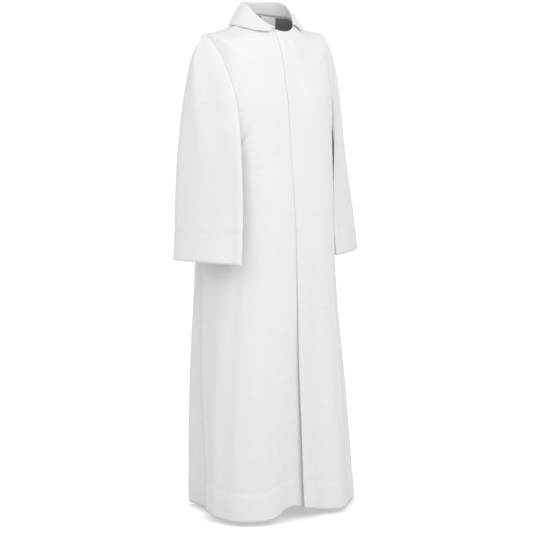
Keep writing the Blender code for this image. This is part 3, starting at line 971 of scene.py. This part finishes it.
def math_node(tree, operation, first, second=None):
    """The output of a Math node fed by sockets or numbers."""
    node = tree.nodes.new("ShaderNodeMath")
    node.operation = operation
    for socket, value in zip(node.inputs, (first, second)):
        if isinstance(value, bpy.types.NodeSocket):
            tree.links.new(value, socket)
        elif value is not None:
            socket.default_value = value
    return node.outputs[0]


def slub_nodes(group, inputs, split, along, across, noise_place):
    """Streaks of thicker thread, long one way and thin the other."""
    join = group.nodes.new("ShaderNodeCombineXYZ")
    runs = ((along, "Slub Length"), (across, "Slub Width"))
    for socket, (axis, size) in zip(join.inputs, runs):
        group.links.new(math_node(group, "DIVIDE", split.outputs[axis], inputs.outputs[size]), socket)
    join.inputs["Z"].default_value = noise_place
    noise = group.nodes.new("ShaderNodeTexNoise")
    set_inputs(noise, {"Scale": 1.0, "Detail": SLUB_NOISE_DETAIL})
    group.links.new(join.outputs[0], noise.inputs["Vector"])
    return math_node(group, "SUBTRACT", noise.outputs["Fac"], MIDDLE_TONE)


def thread_nodes(group, inputs, split):
    """The over and under of single threads."""
    waves = []
    for axis in ("X", "Y"):
        turns = math_node(group, "DIVIDE", split.outputs[axis], inputs.outputs["Thread Pitch"])
        turns = math_node(group, "MULTIPLY", turns, math.tau)
        waves.append(math_node(group, "SINE", turns))
    return math_node(group, "MULTIPLY", waves[0], waves[1])


def weave_group():
    """Plain weave with slubs: thick places along the threads, mostly across the cloth."""
    name = "Slub weave"
    if name in bpy.data.node_groups:
        return bpy.data.node_groups[name]
    group = bpy.data.node_groups.new(name, "ShaderNodeTree")
    group.interface.new_socket(name="Vector", in_out="INPUT", socket_type="NodeSocketVector")
    for row in WEAVE_INPUTS:
        socket = group.interface.new_socket(name=row.name, in_out="INPUT", socket_type="NodeSocketFloat")
        socket.default_value = row.usual
        socket.min_value = row.low
        socket.max_value = row.high
    for result in ("Tone", "Height"):
        group.interface.new_socket(name=result, in_out="OUTPUT", socket_type="NodeSocketFloat")
    inputs = group.nodes.new("NodeGroupInput")
    outputs = group.nodes.new("NodeGroupOutput")
    split = group.nodes.new("ShaderNodeSeparateXYZ")
    group.links.new(inputs.outputs["Vector"], split.inputs[0])
    weft = slub_nodes(group, inputs, split, "X", "Y", WEFT_NOISE_PLACE)
    warp = slub_nodes(group, inputs, split, "Y", "X", WARP_NOISE_PLACE)
    slubs = math_node(group, "ADD", weft, math_node(group, "MULTIPLY", warp, WARP_SLUB_SHARE))
    slubs = math_node(group, "MULTIPLY", slubs, inputs.outputs["Slub Strength"])
    threads = math_node(group, "MULTIPLY", thread_nodes(group, inputs, split), THREAD_SHARE)
    group.links.new(slubs, outputs.inputs["Tone"])
    group.links.new(math_node(group, "ADD", slubs, threads), outputs.inputs["Height"])
    return group


def woven_material(name, colour, weave, settings):
    """A matt woven finish with its slubs a little paler and darker, made once and found again by its name."""
    if name in bpy.data.materials:
        return bpy.data.materials[name]
    material = bpy.data.materials.new(name)
    material.use_nodes = True
    tree = material.node_tree
    shader = tree.nodes["Principled BSDF"]
    finish = {
        "Roughness": settings.roughness,
        "Specular IOR Level": CLOTH_SPECULAR,
        "Sheen Weight": weave.sheen,
        "Sheen Roughness": SHEEN_ROUGHNESS,
    }
    set_inputs(shader, finish)
    place = tree.nodes.new("ShaderNodeUVMap")
    place.uv_map = CLOTH_MAP
    cloth = tree.nodes.new("ShaderNodeGroup")
    cloth.node_tree = weave_group()
    set_inputs(cloth, {"Thread Pitch": weave.pitch, "Slub Strength": weave.slub_strength})
    tree.links.new(place.outputs[0], cloth.inputs["Vector"])
    tint = tree.nodes.new("ShaderNodeMix")
    tint.data_type = "RGBA"
    for socket, tone in zip(MIX_COLOURS, (DARK_TONE, PALE_TONE)):
        tint.inputs[socket].default_value = (*(min(1.0, tone * value) for value in colour), 1.0)
    share = math_node(tree, "ADD", cloth.outputs["Tone"], MIDDLE_TONE)
    tree.links.new(share, tint.inputs[MIX_SHARE])
    tree.links.new(tint.outputs[MIX_COLOUR_RESULT], shader.inputs["Base Color"])
    bump = tree.nodes.new("ShaderNodeBump")
    set_inputs(bump, {"Strength": settings.weave_strength, "Distance": WEAVE_HEIGHT})
    tree.links.new(cloth.outputs["Height"], bump.inputs["Height"])
    tree.links.new(bump.outputs["Normal"], shader.inputs["Normal"])
    return material


def cloth_material(settings):
    """Matt white plain weave with slubs."""
    return woven_material("white slub cloth", settings.cloth_colour, CLOTH_WEAVE, settings)


def tape_material(settings):
    """Pale woven label tape."""
    return woven_material("label tape", settings.tape_colour, TAPE_WEAVE, settings)


def thread_material(settings):
    """White sewing thread."""
    return woven_material("sewing thread", settings.thread_colour, THREAD_WEAVE, settings)


class AlbCloth(bpy.types.PropertyGroup):
    """Sizes and colours of the cloth."""

    wall: FloatProperty(name="Cloth", description="Thickness of the cloth", default=0.0011, unit="LENGTH")
    collar_wall: FloatProperty(
        name="Collar cloth", description="Thickness of the interlined collar", default=0.0020, unit="LENGTH"
    )
    hem_width: FloatProperty(
        name="Hem", description="Width of the turned-up bottom hem", default=0.085, unit="LENGTH"
    )
    cuff_hem_width: FloatProperty(
        name="Cuff hem", description="Width of the turned-up cuff hem", default=0.085, unit="LENGTH"
    )
    drift: FloatProperty(
        name="Unevenness",
        description="Height of the cloth's slow uneven waves",
        default=0.0011,
        unit="LENGTH",
    )
    crease_share: FloatProperty(
        name="Creases",
        description="Share of the hand-placed creases' depth",
        default=1.0,
        subtype="FACTOR",
    )
    cloth_colour: FloatVectorProperty(
        name="Cloth colour",
        description="Colour of the cloth",
        default=(0.868, 0.868, 0.885),
        subtype="COLOR",
    )
    tape_colour: FloatVectorProperty(
        name="Tape colour",
        description="Colour of the label tape",
        default=(0.86, 0.84, 0.82),
        subtype="COLOR",
    )
    thread_colour: FloatVectorProperty(
        name="Thread colour",
        description="Colour of the sewing thread",
        default=(0.82, 0.825, 0.835),
        subtype="COLOR",
    )
    roughness: FloatProperty(
        name="Roughness", description="Roughness of the cloth", default=0.92, subtype="FACTOR"
    )
    weave_strength: FloatProperty(
        name="Weave", description="Strength of the weave's relief", default=0.35, subtype="FACTOR"
    )


class AlbStage(bpy.types.PropertyGroup):
    """The studio: camera, floor and lights."""

    camera_turn: FloatProperty(
        name="Camera turn",
        description="Where the camera stands round the robe",
        default=math.radians(-37.0),
        subtype="ANGLE",
    )
    camera_distance: FloatProperty(
        name="Camera distance",
        description="From the robe's middle line, along the floor",
        default=5.2,
        unit="LENGTH",
    )
    camera_height: FloatProperty(
        name="Camera height", description="Above the neck base", default=-0.03, unit="LENGTH"
    )
    aim_height: FloatProperty(
        name="Aim height",
        description="Height of the point at the view's middle",
        default=-0.716,
        unit="LENGTH",
    )
    aim_aside: FloatProperty(
        name="Aim aside",
        description="How far right of the robe's middle line the view looks",
        default=-0.0059,
        unit="LENGTH",
    )
    lens: FloatProperty(name="Lens", description="Focal length in millimetres", default=121.5)
    floor_gap: FloatProperty(
        name="Floor gap",
        description="Gap between the hem's lowest point and the floor",
        default=0.013,
        unit="LENGTH",
    )
    sky: FloatProperty(name="Sky", description="Strength of the even light all round", default=0.74)
    key: FloatProperty(name="Key light", description="Power of a light of share 1, in watts", default=23.5)
    floor_colour: FloatVectorProperty(
        name="Floor colour", description="Colour of the floor", default=(0.75, 0.75, 0.75), subtype="COLOR"
    )
    floor_lift: FloatProperty(
        name="Floor lift",
        description="How much brighter the camera sees the floor than its light makes it",
        default=0.47,
    )


class ALB_OT_make_fronts(bpy.types.Operator):
    """Makes the two fronts: the left one laps over the right one, and opens below as a pleat."""

    bl_idname = "alb.make_fronts"
    bl_label = "Make Fronts"

    def execute(self, context):
        cloth = context.scene.alb_cloth
        rows = (
            ("front_left", front_left_points(cloth), FRONT_LEFT_CUT),
            ("front_right", front_right_points(cloth), FRONT_RIGHT_CUT),
        )
        for node, points, cut in rows:
            make_panel(node, points, body_drops(), cloth)
        return {"FINISHED"}


class ALB_OT_make_back(bpy.types.Operator):
    """Makes the back in one width."""

    bl_idname = "alb.make_back"
    bl_label = "Make Back"

    def execute(self, context):
        cloth = context.scene.alb_cloth
        make_panel("back", back_points(cloth), body_drops(), cloth)
        return {"FINISHED"}


class ALB_OT_make_gores(bpy.types.Operator):
    """Makes the side gores, the recessed floors of the side pleats."""

    bl_idname = "alb.make_gores"
    bl_label = "Make Side Gores"

    def execute(self, context):
        cloth = context.scene.alb_cloth
        for node, side in (("side_gore_left", 1.0), ("side_gore_right", -1.0)):
            make_panel(node, gore_points(side, cloth), gore_drops(), cloth)
        return {"FINISHED"}


class ALB_OT_make_sleeves(bpy.types.Operator):
    """Makes the two sleeves, from the armhole to the open cuff."""

    bl_idname = "alb.make_sleeves"
    bl_label = "Make Sleeves"

    def execute(self, context):
        cloth = context.scene.alb_cloth
        for node, side in (("sleeve_left", 1.0), ("sleeve_right", -1.0)):
            points = sleeve_points(side, cloth)
            sleeve = grid_object("cloth_" + node, points, closed=True, flip=side > 0.0)
            thicken(sleeve, cloth.wall)
            dress(sleeve, node, cloth_material(cloth))
            stitches = sew(node, cuff_run(points, side, cloth.cuff_hem_width), cloth)
        return {"FINISHED"}


class ALB_OT_make_collar(bpy.types.Operator):
    """Makes the turn-down collar."""

    bl_idname = "alb.make_collar"
    bl_label = "Make Collar"

    def execute(self, context):
        cloth = context.scene.alb_cloth
        points = collar_points()
        collar = grid_object("cloth_collar", points)
        thicken(collar, cloth.collar_wall)
        dress(collar, "collar", cloth_material(cloth))
        stitches = sew("collar", collar_run(points), cloth)
        return {"FINISHED"}


class ALB_OT_make_label(bpy.types.Operator):
    """Makes the bare label inside the back neck."""

    bl_idname = "alb.make_label"
    bl_label = "Make Label"

    def execute(self, context):
        label = grid_object("tape_label", label_points(), flip=True)
        thicken(label, LABEL_CLOTH)
        dress(label, "neck_label", tape_material(context.scene.alb_cloth))
        return {"FINISHED"}


def look_at(thing, aim):
    """Turns a camera or light at its place towards a point."""
    thing.rotation_euler = (aim - thing.location).to_track_quat("-Z", "Y").to_euler()


def make_camera(stage):
    """Makes the camera and looks through it."""
    turn = stage.camera_turn
    away = Vector((math.sin(turn), -math.cos(turn), 0.0))
    right = Vector((math.cos(turn), math.sin(turn), 0.0))
    data = bpy.data.cameras.new("view")
    data.lens = stage.lens
    data.sensor_width = SENSOR_WIDTH
    camera = link_object("view", data)
    camera.location = away * stage.camera_distance + Vector((0.0, 0.0, stage.camera_height))
    look_at(camera, right * stage.aim_aside + Vector((0.0, 0.0, stage.aim_height)))
    bpy.context.scene.camera = camera


def floor_material(stage):
    """Matt floor that the camera sees a little brighter than it is lit."""
    material = bpy.data.materials.new("studio floor")
    material.use_nodes = True
    tree = material.node_tree
    shader = tree.nodes["Principled BSDF"]
    finish = {
        "Base Color": (*stage.floor_colour, 1.0),
        "Roughness": 1.0,
        "Specular IOR Level": 0.0,
        "Emission Color": WHITE,
    }
    set_inputs(shader, finish)
    path = tree.nodes.new("ShaderNodeLightPath")
    lift = math_node(tree, "MULTIPLY", path.outputs["Is Camera Ray"], stage.floor_lift)
    tree.links.new(lift, shader.inputs["Emission Strength"])
    return material


def make_floor(stage):
    """Makes the round floor under the hem."""
    low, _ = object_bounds()
    turns = [math.tau * side / FLOOR_SIDES for side in range(FLOOR_SIDES)]
    corners = [(FLOOR_RADIUS * math.cos(turn), FLOOR_RADIUS * math.sin(turn), 0.0) for turn in turns]
    mesh = bpy.data.meshes.new("studio_floor")
    mesh.from_pydata(corners, [], [list(range(FLOOR_SIDES))])
    mesh.materials.append(floor_material(stage))
    floor = link_object("studio_floor", mesh)
    floor.location.z = low.z - stage.floor_gap
    floor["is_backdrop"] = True


def make_sky(stage):
    """Makes the even light all round, and the white backdrop that the camera sees in its place."""
    world = bpy.data.worlds.new("studio")
    bpy.context.scene.world = world
    world.use_nodes = True
    tree = world.node_tree
    background = tree.nodes["Background"]
    background.inputs["Color"].default_value = WHITE
    path = tree.nodes.new("ShaderNodeLightPath")
    seen = tree.nodes.new("ShaderNodeMix")
    for socket, strength in zip(MIX_NUMBERS, (stage.sky, BACKDROP_STRENGTH)):
        seen.inputs[socket].default_value = strength
    tree.links.new(path.outputs["Is Camera Ray"], seen.inputs[MIX_SHARE])
    tree.links.new(seen.outputs[MIX_NUMBER_RESULT], background.inputs["Strength"])


def make_lights(stage):
    """Makes the large soft lights that stand round the camera."""
    for row in LIGHTS:
        turn = stage.camera_turn + math.radians(row.aside)
        data = bpy.data.lights.new(row.name, "AREA")
        data.shape = "RECTANGLE"
        data.size = LIGHT_WIDTH
        data.size_y = LIGHT_LENGTH
        data.energy = stage.key * row.share
        light = link_object(row.name, data)
        light.location = (LIGHT_DISTANCE * math.sin(turn), -LIGHT_DISTANCE * math.cos(turn), LIGHT_HEIGHT)
        look_at(light, Vector((0.0, 0.0, LIGHT_AIM_HEIGHT)))


class ALB_OT_make_stage(bpy.types.Operator):
    """Makes the camera, the pale floor and the soft light."""

    bl_idname = "alb.make_stage"
    bl_label = "Make Stage"

    def execute(self, context):
        stage = context.scene.alb_stage
        make_camera(stage)
        make_floor(stage)
        make_sky(stage)
        make_lights(stage)
        context.scene.view_settings.view_transform = "Standard"
        return {"FINISHED"}


STEPS = (
    ALB_OT_make_fronts,
    ALB_OT_make_back,
    ALB_OT_make_gores,
    ALB_OT_make_sleeves,
    ALB_OT_make_collar,
    ALB_OT_make_label,
    ALB_OT_make_stage,
)


class ALB_PT_robe(bpy.types.Panel):
    """Lists the robe's settings and steps."""

    bl_idname = "ALB_PT_robe"
    bl_label = "Alb Robe"
    bl_space_type = "VIEW_3D"
    bl_region_type = "UI"
    bl_category = "Alb Robe"

    def draw(self, context):
        for settings in (context.scene.alb_cloth, context.scene.alb_stage):
            box = self.layout.box()
            for name in settings.__annotations__:
                box.prop(settings, name)
        for step in STEPS:
            self.layout.operator(step.bl_idname)


CLASSES = (AlbCloth, AlbStage, *STEPS, ALB_PT_robe)


def register():
    """Adds the classes and their settings to Blender."""
    for cls in CLASSES:
        bpy.utils.register_class(cls)
    bpy.types.Scene.alb_cloth = PointerProperty(type=AlbCloth)
    bpy.types.Scene.alb_stage = PointerProperty(type=AlbStage)


def unregister():
    """Takes them out again."""
    del bpy.types.Scene.alb_stage
    del bpy.types.Scene.alb_cloth
    for cls in reversed(CLASSES):
        bpy.utils.unregister_class(cls)


def main():
    """Makes every piece and the stage."""
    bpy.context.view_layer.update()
    register()
    bpy.ops.alb.make_fronts()
    bpy.ops.alb.make_back()
    bpy.ops.alb.make_gores()
    bpy.ops.alb.make_sleeves()
    bpy.ops.alb.make_collar()
    bpy.ops.alb.make_label()
    bpy.ops.alb.make_stage()


if __name__ == "__main__":
    main()
